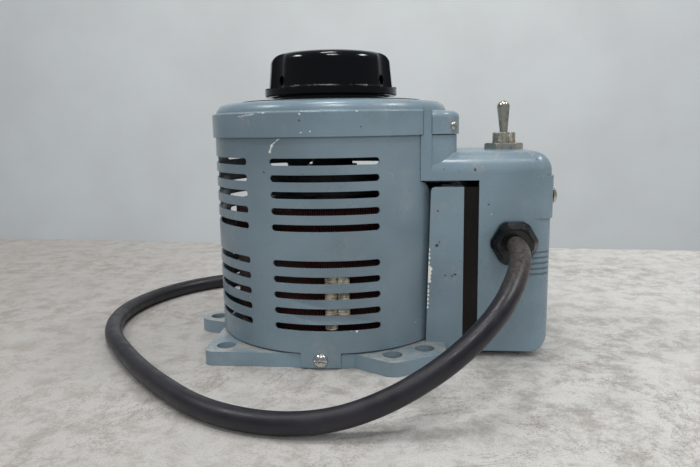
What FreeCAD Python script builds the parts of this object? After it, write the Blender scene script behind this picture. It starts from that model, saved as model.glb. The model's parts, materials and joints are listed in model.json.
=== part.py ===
import FreeCAD, Part
import math
import os
from FreeCAD import Vector

# Portable variable autotransformer (bench "variac"), millimetres.
# Origin: on the shaft axis, in the plane that the base stands on.
# +Z up along the shaft, +X towards the terminal housing, -Y the side with the cord.

# ---- base casting ----
BASE_TOP = 7.0
BASE_R = 60.0
BASE_FRONT = 58.1
HOLE_R = 4.65
CIRCLE_R = 66.7
EAR_R = 9.0
SQUARE_HALF = 48.5
PLATE_X0 = -57.6
PLATE_ROUND = 5.0
WING_X0 = 15.5
WING_TIP = (34.0, 69.4)
WING_TIP_ROUND = 6.4
WING_END = (58.6, 54.4)
HUB_R = 13.0
HUB_TOP = 22.0

# ---- perforated cover ----
COVER_R = 61.0
SHEET = 0.9
COVER_BOTTOM = 7.8
COVER_TOP = 109.0
COVER_EDGE_X = (46.3, 51.4)
COVER_CORNER_Z = (86.2, 77.5)
TAB_HALF = 9.5
TAB_BOTTOM = 0.8
SLOT_H = 3.2
SLOT_PITCH = 7.5
SLOT_ROWS = 5
SLOT_FIRST = (20.2, 66.9)
SLOT_CENTRES = (-148.25, -86.85, 86.85, 148.25)
SLOT_HALF = 24.15
TAB_SCREW_Z = 4.4

# ---- lid ----
SKIRT_R = 62.2
SKIRT_BOTTOM = 107.9
SKIRT_TOP = 119.4
DOME_R = 60.2
LID_TOP = 125.4
LID_WALL = 1.6
HOOD_X = 65.2
HOOD_HALF = 39.9
HOOD_ROUND = 13.2
HOOD_TOP = 118.9
HOOD_SCREW_AZ = 50.6
HOOD_SCREW_Z = 111.7
DIAL_R = 47.0
DIAL_T = 0.5
RIVET_R = 1.25
RIVET_CIRCLE = 14.0
RIVET_AZ = (45, 135, 225, 315)

# ---- upright and terminal board ----
SIDE = 39.5
UPRIGHT_X0 = 49.6
UPRIGHT_X1 = 67.0
UPRIGHT_TOP = 83.3
UPRIGHT_WALL = 3.5
BOARD_X0 = 67.05
BOARD_X1 = 73.95
BOARD_HALF = 38.9
TERMINAL_Y = (-24, -8, 8, 24)

# ---- terminal housing ----
ARM_X0 = 46.5
PILASTER_X0 = 47.9
ARM_BOTTOM = 86.4
BOX_X0 = 74.0
BOX_X1 = 108.8
BOX_BOTTOM = 3.0
BOX_TOP = 99.5
HOUSING_WALL = 3.0
HOUSING_ROUND = 9.5
PILASTER_X1 = 51.8
NECK_X1 = 64.2
NECK_HALF = 38.7
NECK_ROUND = 12.0
PILASTER_WALL = 3.6
BAND_Z = (67.9, 88.0)
BAND_PROUD = 1.0
GROOVE_Z0 = 41.4
GROOVE_PITCH = 2.62
GROOVES = 5
GROOVE_X0 = 93.0
HOUSING_SCREW_Y = 28.6
HOUSING_SCREW_Z = 78.0

# ---- coil ----
COIL_BOTTOM = 13.0
COIL_TOP = 75.0
COIL_R0 = 22.0
COIL_R1 = 52.0
CORE_R0 = 26.5
CORE_R1 = 47.5
CORE_Z = (18.0, 70.5)
CUP = 1.0
CLAMP_SCREW_R = 16.8
CLAMP_AZ = (90, 210, 330)
SLEEVE_R = 2.9
SLEEVE_AZ = (-85.0, -78.9)

# ---- shaft, brush rotor and knob ----
SHAFT_R = 4.76
SHAFT_BOTTOM = 2.6
SHAFT_TOP = 144.0
RUNNING = 0.05
ROTOR_R = 44.0
ROTOR_Z = (83.6, 86.1)
ROTOR_RIM = 1.8
ROTOR_RIM_Z = (79.8, 89.4)
ROTOR_HUB_R = 10.8
ROTOR_HUB_Z = (81.5, 99.0)
ROTOR_SCREW_Z = 95.8
ARM_HALF = 7.0
ARM_R = 50.0
REST_AZ = -21.0
BRUSH_R = 41.0
BRUSH_HALF = (3.5, 2.0)
BRUSH_Z = (COIL_TOP + 0.05, 85.5)
HOLDER_Z = (77.6, 91.4)
HOLDER_WALL = 1.4
SLIP_RING_R = 13.2
SLIP_RING_Z = (89.9, 92.7)
STOP_Z = (83.4, 86.3)
STOP_R = (46.8, 58.0)
STOP_HALF_AZ = 12.2
KNOB_BOTTOM = 127.9
FLANGE_TOP = 132.2
FLANGE_R = 34.6
KNOB_TOP = 151.4
KNOB_GROOVES = (-141.0, -21.0, 99.0)
KNOB_BOSS_R = 28.4
GROOVE_R = 16.0
GROOVE_CENTRE = 45.2
KNOB_SCREW_R = 2.4
KNOB_SCREW_Z = 135.6
KNOB_SCREW_AZ = (-141.0, -21.0)

# ---- switch, receptacle, gland ----
PORT_X = 90.4
GLAND_Z = 56.8
BUSH_R = 5.95
NUT_FLATS = 17.2
LEVER_PIVOT_Z = 103.0
LEVER_TIP_Z = 125.0
LEVER_LEAN = 12.5
OUTLET_Z = 46.6
OUTLET_R = 17.2
BLADE_Y = 6.35

# ---- power cord ----
CORD_R = 4.5
CORD_EXIT = (PORT_X, -47.5, GLAND_Z)
COIL_CX = 15.0
COIL_CY = 156.5
TURN_R = (40.5, 58.5)
TURNS = 4
CORD_ROUTE = [
    CORD_EXIT, (90.2, -60, 56.6), (88.4, -72, 54.4), (84.6, -84, 49.6), (79.2, -95, 43.2),
    (71.6, -104, 36.2), (61.4, -111.5, 28.4), (49.0, -117.5, 20.6), (33.0, -122.5, 12.6),
    (14.0, -126, 6.6), (-6, -126, CORD_R), (-26, -121.5, CORD_R), (-44, -111.5, CORD_R),
    (-61, -96, CORD_R), (-79, -78, CORD_R), (-99, -54, CORD_R), (-119, -26, CORD_R),
    (-130, 6, CORD_R), (-129, 38, CORD_R), (-117, 69, CORD_R), (-95, 93, CORD_R),
    (-67, 104, CORD_R), (-38, 104, CORD_R), (-12, 99.4, CORD_R), (COIL_CX, COIL_CY - TURN_R[1], CORD_R),
]
PLUG_X = 64.0
PLUG_Z = 3 * CORD_R
TAIL_ROUTE = [(COIL_CX + 14, COIL_CY - TURN_R[1], PLUG_Z), (PLUG_X, COIL_CY - TURN_R[1], PLUG_Z)]


# ---------------------------------------------------------------- helpers
def box(x0, y0, z0, x1, y1, z1):
    return Part.makeBox(x1 - x0, y1 - y0, z1 - z0, Vector(x0, y0, z0))


def disc(r, z0, z1, x=0.0, y=0.0):
    return Part.makeCylinder(r, z1 - z0, Vector(x, y, z0))


def rod(r, start, end):
    a, b = Vector(*start), Vector(*end)
    return Part.makeCylinder(r, (b - a).Length, a, b - a)


def ring(r1, r0, z0, z1, x=0.0, y=0.0):
    return disc(r1, z0, z1, x, y).cut(disc(r0, z0 - 1, z1 + 1, x, y))


def cone(r0, r1, start, end):
    a, b = Vector(*start), Vector(*end)
    return Part.makeCone(r0, r1, (b - a).Length, a, b - a)


def turned(points):
    """Solid of revolution about Z. Points are (r, z), or (r, z, rm, zm) for an arc through (rm, zm)."""
    edges = []
    last = Vector(points[0][0], 0, points[0][1])
    for p in points[1:] + [points[0][:2]]:
        end = Vector(p[0], 0, p[1])
        if (end - last).Length < 1e-6:
            continue
        if len(p) == 4:
            edges.append(Part.Arc(last, Vector(p[2], 0, p[3]), end).toShape())
        else:
            edges.append(Part.LineSegment(last, end).toShape())
        last = end
    face = Part.Face(Part.Wire(edges))
    return face.revolve(Vector(0, 0, 0), Vector(0, 0, 1), 360)


def prism(points, z0, z1):
    wire = Part.makePolygon([Vector(x, y, z0) for x, y in points + points[:1]])
    return Part.Face(wire).extrude(Vector(0, 0, z1 - z0))


def side_prism(points, y0, y1):
    """Outline in X and Z, extruded along Y."""
    wire = Part.makePolygon([Vector(x, y0, z) for x, z in points + points[:1]])
    return Part.Face(wire).extrude(Vector(0, y1 - y0, 0))


def polar(r, az):
    return r * math.cos(math.radians(az)), r * math.sin(math.radians(az))


def turn_z(shape, az):
    out = shape.copy()
    out.rotate(Vector(0, 0, 0), Vector(0, 0, 1), az)
    return out


def mirrored(shape):
    return shape.mirror(Vector(0, 0, 0), Vector(0, 1, 0))


def both_sides(shape):
    return shape.fuse(mirrored(shape))


def ear(x, y, r, z1, root_r=30.0):
    """Mounting ear: a round tip joined by its two tangents to a disc at the centre."""
    d = math.hypot(x, y)
    heading = math.atan2(y, x)
    lean = math.acos((root_r - r) / d)
    tangents = []
    for side in (1, -1):
        a = heading + side * lean
        tangents.append((math.cos(a), math.sin(a)))
    (ax, ay), (bx, by) = tangents
    web = prism([(root_r * ax, root_r * ay), (x + r * ax, y + r * ay),
                 (x + r * bx, y + r * by), (root_r * bx, root_r * by)], 0, z1)
    return web.fuse(disc(r, 0, z1, x, y))


def hexagon(flats, z0, z1, x=0.0, y=0.0):
    r = flats / math.sqrt(3)
    corners = [polar(r, 60 * k) for k in range(6)]
    return prism([(x + cx, y + cy) for cx, cy in corners], z0, z1)


def fillet_where(shape, radius, test):
    edges = [e for e in shape.Edges if test(e)]
    return shape.makeFillet(radius, edges)


def runs_along(edge, axis):
    d = edge.Vertexes[-1].Point - edge.Vertexes[0].Point
    return d.Length > 0.5 and abs(abs(d.dot(axis)) - d.Length) < 1e-4


def rounded_path(points):
    """Straight runs joined by tangent arcs, each as large as its two runs allow."""
    pts = [Vector(*p) for p in points]
    edges, radii, last = [], [], pts[0]
    for i in range(1, len(pts) - 1):
        before, here, after = pts[i - 1], pts[i], pts[i + 1]
        u, v = here - before, after - here
        reach = 0.45 * min(u.Length, v.Length)
        turn = u.getAngle(v)
        u.normalize()
        v.normalize()
        start, end = here - u * reach, here + v * reach
        radius = reach / math.tan(turn / 2)
        radii.append(round(radius, 1))
        inward = (v - u).normalize()
        centre = here + inward * (radius / math.cos(turn / 2))
        middle = centre - inward * radius
        edges.append(Part.LineSegment(last, start).toShape())
        edges.append(Part.Arc(start, middle, end).toShape())
        last = end
    edges.append(Part.LineSegment(last, pts[-1]).toShape())
    return Part.Wire(edges), radii


def tube(points, radius, label=None):
    path, radii = rounded_path(points)
    start, heading = Vector(*points[0]), Vector(*points[1]) - Vector(*points[0])
    section = Part.Wire(Part.makeCircle(radius, start, heading))
    solid = path.makePipeShell([section], True, False)
    if label:
        print(label, "length", round(path.Length, 1), "radii", radii,
              "volume ratio", round(solid.Volume / (math.pi * radius ** 2 * path.Length), 4))
    return solid


def pan_screw(head_r, head_h, shank_r, shank_len, slot=1.0):
    """Round slotted head above z 0, shank below it."""
    arc_r = 0.72 * head_r
    head = turned([(0, 0), (head_r, 0), (0.3, head_h, arc_r, 0.72 * head_h), (0, head_h)])
    head = head.cut(box(-head_r, -slot / 2, 0.45 * head_h, head_r, slot / 2, head_h + 1))
    return head.fuse(disc(shank_r, -shank_len, 0.01))


def place(shape, position, direction, spin=0.0):
    """Turns +Z to the direction, then moves the origin to the position."""
    out = shape.copy()
    out.rotate(Vector(0, 0, 0), Vector(0, 0, 1), spin)
    turn = FreeCAD.Rotation(Vector(0, 0, 1), Vector(*direction))
    out.Placement = FreeCAD.Placement(Vector(*position), turn).multiply(out.Placement)
    return out


# ---------------------------------------------------------------- base
def base_slab():
    """Square plate whose lugs are its corners: plain on the far side, drawn out to wings by the box."""
    half = [(PLATE_X0, BASE_FRONT), (WING_X0, BASE_FRONT), WING_TIP, WING_END]
    slab = prism(half + [(x, -y) for x, y in reversed(half)], 0, BASE_TOP)
    for (x, y), radius in ((half[0], PLATE_ROUND), (WING_TIP, WING_TIP_ROUND), (WING_END, PLATE_ROUND)):
        for k in (-1, 1):
            corner = Vector(x, k * y, BASE_TOP / 2)
            slab = fillet_where(slab, radius, lambda e: (e.CenterOfMass - corner).Length < 0.1)
    return slab


def base_casting():
    foot = box(UPRIGHT_X0, -SIDE, 0, UPRIGHT_X1, SIDE, BASE_TOP)
    back_ear = ear(-CIRCLE_R, 0, EAR_R, BASE_TOP)
    plate = disc(BASE_R, 0, BASE_TOP).fuse([base_slab(), back_ear, foot]).removeSplitter()
    plate = plate.cut(disc(50, -1, 3))
    hub = disc(HUB_R, 3, HUB_TOP).fuse(ring(COIL_R1 - 4, COIL_R1 - 14, 6, COIL_BOTTOM - 1.5))
    plate = plate.fuse([hub, disc(20, 2, BASE_TOP)])
    plate = plate.fuse(upright())
    holes = [polar(CIRCLE_R, a) for a in (60, 180, 300)]
    holes += [(i * SQUARE_HALF, j * SQUARE_HALF) for i in (-1, 1) for j in (-1, 1)]
    for x, y in holes:
        plate = plate.cut(disc(HOLE_R, -1, BASE_TOP + 1, x, y))
    plate = plate.cut(disc(SHAFT_R + 2.5, 4.5, HUB_TOP + 1)).cut(disc(SHAFT_R + 0.6, 2, 5))
    for a in CLAMP_AZ:
        x, y = polar(CLAMP_SCREW_R, a)
        plate = plate.cut(disc(2.0, 1.9, BASE_TOP + 1, x, y))
    for k in (-1, 1):
        plate = plate.cut(rod(1.6, (0, k * (BASE_R + 1), TAB_SCREW_Z), (0, k * (BASE_R - 8), TAB_SCREW_Z)))
    for k in (-1, 1):
        plate = plate.cut(rod(1.9, (UPRIGHT_X1 + 1, k * HOUSING_SCREW_Y, HOUSING_SCREW_Z),
                              (UPRIGHT_X1 - 9, k * HOUSING_SCREW_Y, HOUSING_SCREW_Z)))
    return plate


def upright():
    """Channel-shaped column at the back of the base: two flanges and a web with a window for the leads."""
    outline = [(UPRIGHT_X0 - 0.5, 1), (UPRIGHT_X1, 1), (UPRIGHT_X1, UPRIGHT_TOP),
               (UPRIGHT_X0 + 3.5, UPRIGHT_TOP), (UPRIGHT_X0 + 2.4, UPRIGHT_TOP - 0.5),
               (UPRIGHT_X0 + 1.9, UPRIGHT_TOP - 1.7)]
    flange = side_prism(outline, -SIDE, -SIDE + UPRIGHT_WALL)
    boss = box(UPRIGHT_X1 - 10, -HOUSING_SCREW_Y - 5, HOUSING_SCREW_Z - 5,
               UPRIGHT_X1, -HOUSING_SCREW_Y + 5, UPRIGHT_TOP)
    web = box(UPRIGHT_X1 - UPRIGHT_WALL, -SIDE, 1, UPRIGHT_X1, SIDE, UPRIGHT_TOP)
    web = web.cut(box(UPRIGHT_X1 - 9, -16.5, 24, UPRIGHT_X1 + 1, 16.5, 56))
    column = web.fuse([both_sides(flange), both_sides(boss)])
    return column.cut(disc(COVER_R + 0.2, BASE_TOP, UPRIGHT_TOP + 1))


# ---------------------------------------------------------------- covers
def gap_wedge(half_az, z0, z1):
    x = 90.0
    y = x * math.tan(math.radians(half_az))
    return prism([(0, 0), (x, -y), (x, y)], z0, z1)


def slot_tool(z, centre_az):
    """One louvre slot with round ends, as a cutter that crosses the sheet."""
    end_angle = SLOT_HALF - math.degrees(SLOT_H / 2 / COVER_R)
    x = 90.0
    y = x * math.tan(math.radians(end_angle))
    z0, z1 = z - SLOT_H / 2, z + SLOT_H / 2
    strip = ring(COVER_R + 2, COVER_R - 3, z0, z1).common(prism([(0, 0), (x, -y), (x, y)], z0, z1))
    ends = []
    for side in (-1, 1):
        far, near = polar(COVER_R + 2, side * end_angle), polar(COVER_R - 3, side * end_angle)
        ends.append(rod(SLOT_H / 2, (near[0], near[1], z), (far[0], far[1], z)))
    return turn_z(strip.fuse(ends), centre_az)


def cover_opening():
    """Opening for the upright, the arm and the neck. The sheet's corners below the arm are rounded."""
    high, low = COVER_EDGE_X
    top, bottom = COVER_CORNER_Z
    outline = [(low, COVER_BOTTOM - 1), (90, COVER_BOTTOM - 1), (90, COVER_TOP + 1), (high, COVER_TOP + 1)]
    for k in range(9):
        t = math.radians(90 * k / 8)
        outline.append((high + (low - high) * math.sin(t), bottom + (top - bottom) * math.cos(t)))
    return side_prism(outline, -90, 90)


def perforated_cover():
    shell = ring(COVER_R, COVER_R - SHEET, COVER_BOTTOM, COVER_TOP)
    shell = shell.cut(cover_opening())
    tabs = ring(COVER_R, COVER_R - SHEET, TAB_BOTTOM, COVER_BOTTOM)
    tabs = tabs.common(box(-TAB_HALF, -70, 0, TAB_HALF, 70, COVER_BOTTOM))
    shell = shell.fuse(tabs).removeSplitter()
    slots = [slot_tool(first + SLOT_PITCH * row, az)
             for az in SLOT_CENTRES for first in SLOT_FIRST for row in range(SLOT_ROWS)]
    shell = shell.cut(slots)
    return shell.cut([rod(1.75, (0, k * 50, TAB_SCREW_Z), (0, k * 70, TAB_SCREW_Z)) for k in (-1, 1)])


def cover_screws():
    screw = pan_screw(3.5, 2.1, 1.5, 7.5)
    return Part.Compound([place(screw, (0, k * (COVER_R + 0.02), TAB_SCREW_Z), (0, k, 0), 6 * k)
                          for k in (-1, 1)])


def lid():
    outer = turned([(0, SKIRT_BOTTOM), (SKIRT_R, SKIRT_BOTTOM), (SKIRT_R, SKIRT_TOP - 0.8),
                    (SKIRT_R - 0.8, SKIRT_TOP, SKIRT_R - 0.24, SKIRT_TOP - 0.24), (DOME_R, SKIRT_TOP + 0.3),
                    (54.5, LID_TOP - 1.1, 58.6, 122.7), (36, LID_TOP, 46, LID_TOP - 0.3), (0, LID_TOP)])
    inner_r = COVER_R + 0.25
    inner = turned([(0, SKIRT_BOTTOM - 1), (inner_r, SKIRT_BOTTOM - 1), (inner_r, SKIRT_TOP - 1.4),
                    (58.4, SKIRT_TOP - 0.6), (53.6, LID_TOP - 2.8, 56.9, 121.4), (16, LID_TOP - 1.9),
                    (0, LID_TOP - 1.9)])
    shell = outer.cut(inner)
    between = SIDE - PILASTER_WALL - 0.1
    shell = shell.cut(box(PILASTER_X0 - 0.1, -between, 100, 80, between, HOOD_TOP - 1.2))
    hood = box(49.6, -HOOD_HALF, SKIRT_BOTTOM + 0.2, HOOD_X, HOOD_HALF, HOOD_TOP)
    hood = fillet_where(hood, HOOD_ROUND, is_hood_corner)
    hood = fillet_where(hood, 3.2, lambda e: e.CenterOfMass.z > HOOD_TOP - 0.01 and e.CenterOfMass.x > 50)
    hollow = box(40, -HOOD_HALF + LID_WALL, 100, HOOD_X - LID_WALL, HOOD_HALF - LID_WALL, HOOD_TOP - LID_WALL)
    hollow = fillet_where(hollow, HOOD_ROUND - LID_WALL, is_hood_corner)
    passage = hollow.common(disc(60, 100, 130))
    shell = shell.cut(passage).fuse(hood.cut(hollow))
    for k in (-1, 1):
        y0, y1 = sorted((k * between, k * (SIDE + 0.8)))
        shell = shell.cut(box(PILASTER_X0 - 0.1, y0, 100, PILASTER_X1 + 0.1, y1, LID_TOP))
    shell = shell.cut([hood_screw_hole(k, 1.3) for k in (-1, 1)])
    shell = shell.cut(disc(DIAL_R + 0.15, LID_TOP - DIAL_T, LID_TOP + 1))
    return shell.cut(disc(6.5, 110, 130)).removeSplitter()


def hood_screw_frame(k):
    """Centre of the hood's round corner on one side, and the way its screw points there."""
    out = math.radians(HOOD_SCREW_AZ)
    return (HOOD_X - HOOD_ROUND, k * (HOOD_HALF - HOOD_ROUND)), (math.sin(out), k * math.cos(out))


def hood_screw_hole(k, radius):
    (x, y), (u, w) = hood_screw_frame(k)
    return rod(radius, (x, y, HOOD_SCREW_Z), (x + 20 * u, y + 20 * w, HOOD_SCREW_Z))


def hood_screws():
    screw = pan_screw(2.3, 1.1, 1.2, 4.0)
    screws = []
    for k in (-1, 1):
        (x, y), (u, w) = hood_screw_frame(k)
        reach = HOOD_ROUND + 0.02
        screws.append(place(screw, (x + reach * u, y + reach * w, HOOD_SCREW_Z), (u, w, 0), 40))
    return Part.Compound(screws)


def is_hood_corner(e):
    return runs_along(e, Vector(0, 0, 1)) and e.CenterOfMass.x > 60


def dial_plate():
    plate = ring(DIAL_R, 7.0, LID_TOP - DIAL_T, LID_TOP)
    for a in RIVET_AZ:
        x, y = polar(RIVET_CIRCLE, a)
        plate = plate.cut(disc(RIVET_R + 0.05, 110, 130, x, y))
    return plate


def dial_rivets():
    rivets = []
    for a in RIVET_AZ:
        x, y = polar(RIVET_CIRCLE, a)
        shank = disc(RIVET_R, LID_TOP - DIAL_T, LID_TOP + 0.01, x, y)
        rivets.append(shank.fuse(disc(2.2, LID_TOP, LID_TOP + 0.7, x, y)))
    return Part.Compound(rivets)


# ---------------------------------------------------------------- coil
def lower_coil_ring():
    return ring(COIL_R1 - 2, COIL_R0 + 4, COIL_BOTTOM - 1.5, COIL_BOTTOM)


def core():
    return ring(CORE_R1, CORE_R0, *CORE_Z)


def core_insulation():
    outer = ring(CORE_R1 + CUP, CORE_R0 - CUP, CORE_Z[0] - CUP, CORE_Z[1] + CUP)
    return outer.cut(core())


def winding():
    body = turned([(COIL_R0, COIL_BOTTOM + 4), (COIL_R0 + 4, COIL_BOTTOM, COIL_R0 + 1.17, COIL_BOTTOM + 1.17),
                   (COIL_R1 - 4, COIL_BOTTOM), (COIL_R1, COIL_BOTTOM + 4, COIL_R1 - 1.17, COIL_BOTTOM + 1.17),
                   (COIL_R1, COIL_TOP - 3), (COIL_R1 - 3, COIL_TOP, COIL_R1 - 0.88, COIL_TOP - 0.88),
                   (COIL_R0 + 3, COIL_TOP), (COIL_R0, COIL_TOP - 3, COIL_R0 + 0.88, COIL_TOP - 0.88)])
    return body.cut(ring(CORE_R1 + CUP, CORE_R0 - CUP, CORE_Z[0] - CUP, CORE_Z[1] + CUP))


def with_clamp_holes(shape):
    for a in CLAMP_AZ:
        x, y = polar(CLAMP_SCREW_R, a)
        shape = shape.cut(disc(2.2, 0, 100, x, y))
    return shape


def upper_coil_ring():
    return with_clamp_holes(ring(31.5, HUB_R + 1.0, COIL_TOP, COIL_TOP + 1.2))


def clamp_plate():
    return with_clamp_holes(ring(30.5, HUB_R + 0.6, COIL_TOP + 1.2, COIL_TOP + 3.2))


def clamp_screws():
    screws = []
    for a in CLAMP_AZ:
        x, y = polar(CLAMP_SCREW_R, a)
        shank = disc(1.95, 3, COIL_TOP + 3.2, x, y)
        screws.append(shank.fuse(hexagon(6.4, COIL_TOP + 3.2, COIL_TOP + 5.6, x, y)))
    return Part.Compound(screws)


def winding_leads():
    """Sleeved leads from the end turns and the tap, through the upright's window to the board."""
    leads = []
    for y in (-13.0, 0.0, 13.0):
        x = math.sqrt(COIL_R1 ** 2 - y * y) + 0.4
        leads.append(rod(1.3, (x, y, 36), (BOARD_X0, y, 36)))
    return Part.Compound(leads)


def tap_sleeve():
    """Two insulating sleeves over the tap leads, standing side by side against the winding."""
    sleeves = []
    for az, bottom, top in zip(SLEEVE_AZ, (18.4, 22.2), (45.6, 43.6)):
        x, y = polar(COIL_R1 + SLEEVE_R + 0.4, az)
        sleeves.append(disc(SLEEVE_R, bottom, top, x, y))
    return Part.Compound(sleeves)


# ---------------------------------------------------------------- shaft and rotor
def shaft():
    body = disc(SHAFT_R, SHAFT_BOTTOM, SHAFT_TOP)
    return body.cut(box(SHAFT_R - 0.7, -5, SHAFT_TOP - 14, SHAFT_R + 1, 5, SHAFT_TOP + 1))


def lower_bushing():
    sleeve = ring(SHAFT_R + 2.5, SHAFT_R + RUNNING, 4.5, HUB_TOP)
    return sleeve.fuse(ring(HUB_R - 3, SHAFT_R + RUNNING, HUB_TOP, HUB_TOP + 1.5))


def upper_bushing():
    neck = ring(6.4, SHAFT_R + RUNNING, 112, LID_TOP + 1.2)
    return neck.fuse(ring(11, SHAFT_R + RUNNING, LID_TOP - 1.9 - 3.0, LID_TOP - 1.9))


def upper_bushing_nut():
    return hexagon(19.0, LID_TOP - 1.9 - 7.0, LID_TOP - 1.9 - 3.0).cut(disc(6.4, 100, 130))


def collar():
    body = ring(9.0, SHAFT_R, HUB_TOP + 1.8, HUB_TOP + 9)
    return body.cut(rod(1.3, (0, 4, HUB_TOP + 5.4), (0, 10, HUB_TOP + 5.4)))


def radial_set_screw(r, z, az, reach):
    x0, y0 = polar(SHAFT_R, az)
    x1, y1 = polar(reach, az)
    return rod(r, (x0, y0, z), (x1, y1, z))


def set_screws():
    return Part.Compound([radial_set_screw(1.3, HUB_TOP + 5.4, 90, 8.8),
                          radial_set_screw(1.7, ROTOR_SCREW_Z, REST_AZ + 180, ROTOR_HUB_R - 0.2)])


def rotor():
    """Ribbed disc with a rim, on a hub. Its arm holds the brush and ends in the lug that meets the stop."""
    hub = ring(ROTOR_HUB_R, SHAFT_R, *ROTOR_HUB_Z)
    plate = ring(ROTOR_R, 10, *ROTOR_Z)
    for k in range(5):
        window = ring(34, 17, ROTOR_Z[0] - 5, ROTOR_Z[1] + 5).common(gap_wedge(20, 70, 100))
        plate = plate.cut(turn_z(window, REST_AZ + 60 * (k + 1)))
    ribs = [turn_z(box(10, -1.1, ROTOR_Z[1] - 0.2, ROTOR_R - 1, 1.1, ROTOR_Z[1] + 2.6), REST_AZ + 30 + 60 * k)
            for k in range(6)]
    arm = turn_z(box(30, -ARM_HALF, ROTOR_Z[0], ARM_R, ARM_HALF, ROTOR_Z[1]), REST_AZ)
    rim = ring(ROTOR_R, ROTOR_R - ROTOR_RIM, *ROTOR_RIM_Z)
    body = hub.fuse([plate, arm, rim] + ribs).removeSplitter()
    body = body.cut(holder_block(0, 100))
    return body.cut(radial_set_screw(1.7, ROTOR_SCREW_Z, REST_AZ + 180, 12.0))


def holder_block(z0, z1):
    a, b = BRUSH_HALF[0] + HOLDER_WALL, BRUSH_HALF[1] + HOLDER_WALL
    return turn_z(box(BRUSH_R - a, -b, z0, BRUSH_R + a, b, z1), REST_AZ)


def brush_block(z0, z1, gap=0.0):
    a, b = BRUSH_HALF[0] + gap, BRUSH_HALF[1] + gap
    return turn_z(box(BRUSH_R - a, -b, z0, BRUSH_R + a, b, z1), REST_AZ)


def brush_holder():
    return holder_block(*HOLDER_Z).cut(brush_block(0, 100, RUNNING))


def brush_cap():
    return holder_block(HOLDER_Z[1], HOLDER_Z[1] + 1.0)


def carbon_brush():
    return brush_block(*BRUSH_Z)


def brush_spring():
    """Leaf folded back and forth between the brush and the cap."""
    folds, leaf = 6, 0.35
    rise = (HOLDER_Z[1] - BRUSH_Z[1] - leaf - 0.04) / folds
    corners = [(BRUSH_R + (2.8 if k % 2 else -2.8), BRUSH_Z[1] + 0.02 + k * rise) for k in range(folds + 1)]
    strips = []
    for (xa, za), (xb, zb) in zip(corners, corners[1:]):
        strips.append(side_prism([(xa, za), (xb, zb), (xb, zb + leaf), (xa, za + leaf)], -1.5, 1.5))
    return turn_z(strips[0].fuse(strips[1:]), REST_AZ)


def slip_ring():
    return ring(SLIP_RING_R, ROTOR_HUB_R, *SLIP_RING_Z)


def stop_plate():
    """Fan-shaped stop on the upright. The rotor's lug meets one side of it at each end of the travel."""
    fan = ring(STOP_R[1], STOP_R[0], *STOP_Z).common(gap_wedge(STOP_HALF_AZ, 70, 100))
    return fan.fuse(box(54, -10, STOP_Z[0], UPRIGHT_X1 - 0.5, 10, STOP_Z[1])).removeSplitter()


def contact_block():
    return box(52.0, -7, ARM_BOTTOM + HOUSING_WALL, 61.0, 7, ARM_BOTTOM + HOUSING_WALL + 2.0)


def contact_finger():
    """Spring strip from the block to the slip ring, bent down at its tip."""
    z = ARM_BOTTOM + HOUSING_WALL + 2.0
    strip = box(SLIP_RING_R + 0.4, -2.5, z, 60.0, 2.5, z + 0.6)
    return strip.fuse(box(SLIP_RING_R + 0.4, -2.5, z - 0.9, SLIP_RING_R + 1.8, 2.5, z)).removeSplitter()


# ---------------------------------------------------------------- knob
def control_knob():
    body = turned([(0, KNOB_BOTTOM + 1.2), (30.5, KNOB_BOTTOM + 1.2), (31.5, KNOB_BOTTOM),
                   (FLANGE_R - 0.5, KNOB_BOTTOM), (FLANGE_R, KNOB_BOTTOM + 0.5), (FLANGE_R, FLANGE_TOP - 0.6),
                   (FLANGE_R - 0.6, FLANGE_TOP, FLANGE_R - 0.18, FLANGE_TOP - 0.18), (32.9, FLANGE_TOP),
                   (32.35, FLANGE_TOP + 0.55, 32.5, FLANGE_TOP + 0.16), (31.3, 143.6),
                   (26.2, 149.2, 29.9, 147.4), (0.8, KNOB_TOP, 13.6, 150.9), (0, KNOB_TOP)])
    for az in KNOB_GROOVES:
        foot = polar(GROOVE_CENTRE, az)
        top = polar(GROOVE_CENTRE - 1.6, az)
        groove = cone(GROOVE_R, GROOVE_R - 0.2, (foot[0], foot[1], FLANGE_TOP), (top[0], top[1], 156.0))
        body = body.cut(groove)
    body = body.fuse(ring(KNOB_BOSS_R, 17.0, LID_TOP + 0.5, KNOB_BOTTOM + 1.3)).removeSplitter()
    body = body.cut(disc(9.0, KNOB_BOTTOM - 1, KNOB_BOTTOM + 12)).cut(disc(6.2, 100, SHAFT_TOP + 1.0))
    return body.cut(knob_screw_holes(40))


def knob_screw_holes(reach):
    return [radial_set_screw(KNOB_SCREW_R, KNOB_SCREW_Z, az, reach) for az in KNOB_SCREW_AZ]


def knob_insert():
    sleeve = ring(6.2, SHAFT_R, KNOB_BOTTOM + 12, SHAFT_TOP)
    sleeve = sleeve.fuse(ring(9.0, SHAFT_R, KNOB_BOTTOM + 2, KNOB_BOTTOM + 12))
    return sleeve.cut(knob_screw_holes(12))


def knob_set_screws():
    return Part.Compound(knob_screw_holes(14.0))


# ---------------------------------------------------------------- terminal board and housing
def terminal_board():
    board = box(BOARD_X0, -BOARD_HALF, 4.0, BOARD_X1, BOARD_HALF, UPRIGHT_TOP)
    for k in (-1, 1):
        board = board.cut(rod(2.2, (BOARD_X0 - 1, k * HOUSING_SCREW_Y, HOUSING_SCREW_Z),
                              (BOARD_X1 + 1, k * HOUSING_SCREW_Y, HOUSING_SCREW_Z)))
    return board


def terminal_screws():
    screw = pan_screw(3.2, 2.0, 1.6, 0.01)
    return Part.Compound([place(screw, (BOARD_X1 + 0.81, y, 30), (1, 0, 0)) for y in TERMINAL_Y])


def terminal_tags():
    return Part.Compound([box(BOARD_X1, y - 3.4, 22, BOARD_X1 + 0.8, y + 3.4, 34) for y in TERMINAL_Y])


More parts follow.
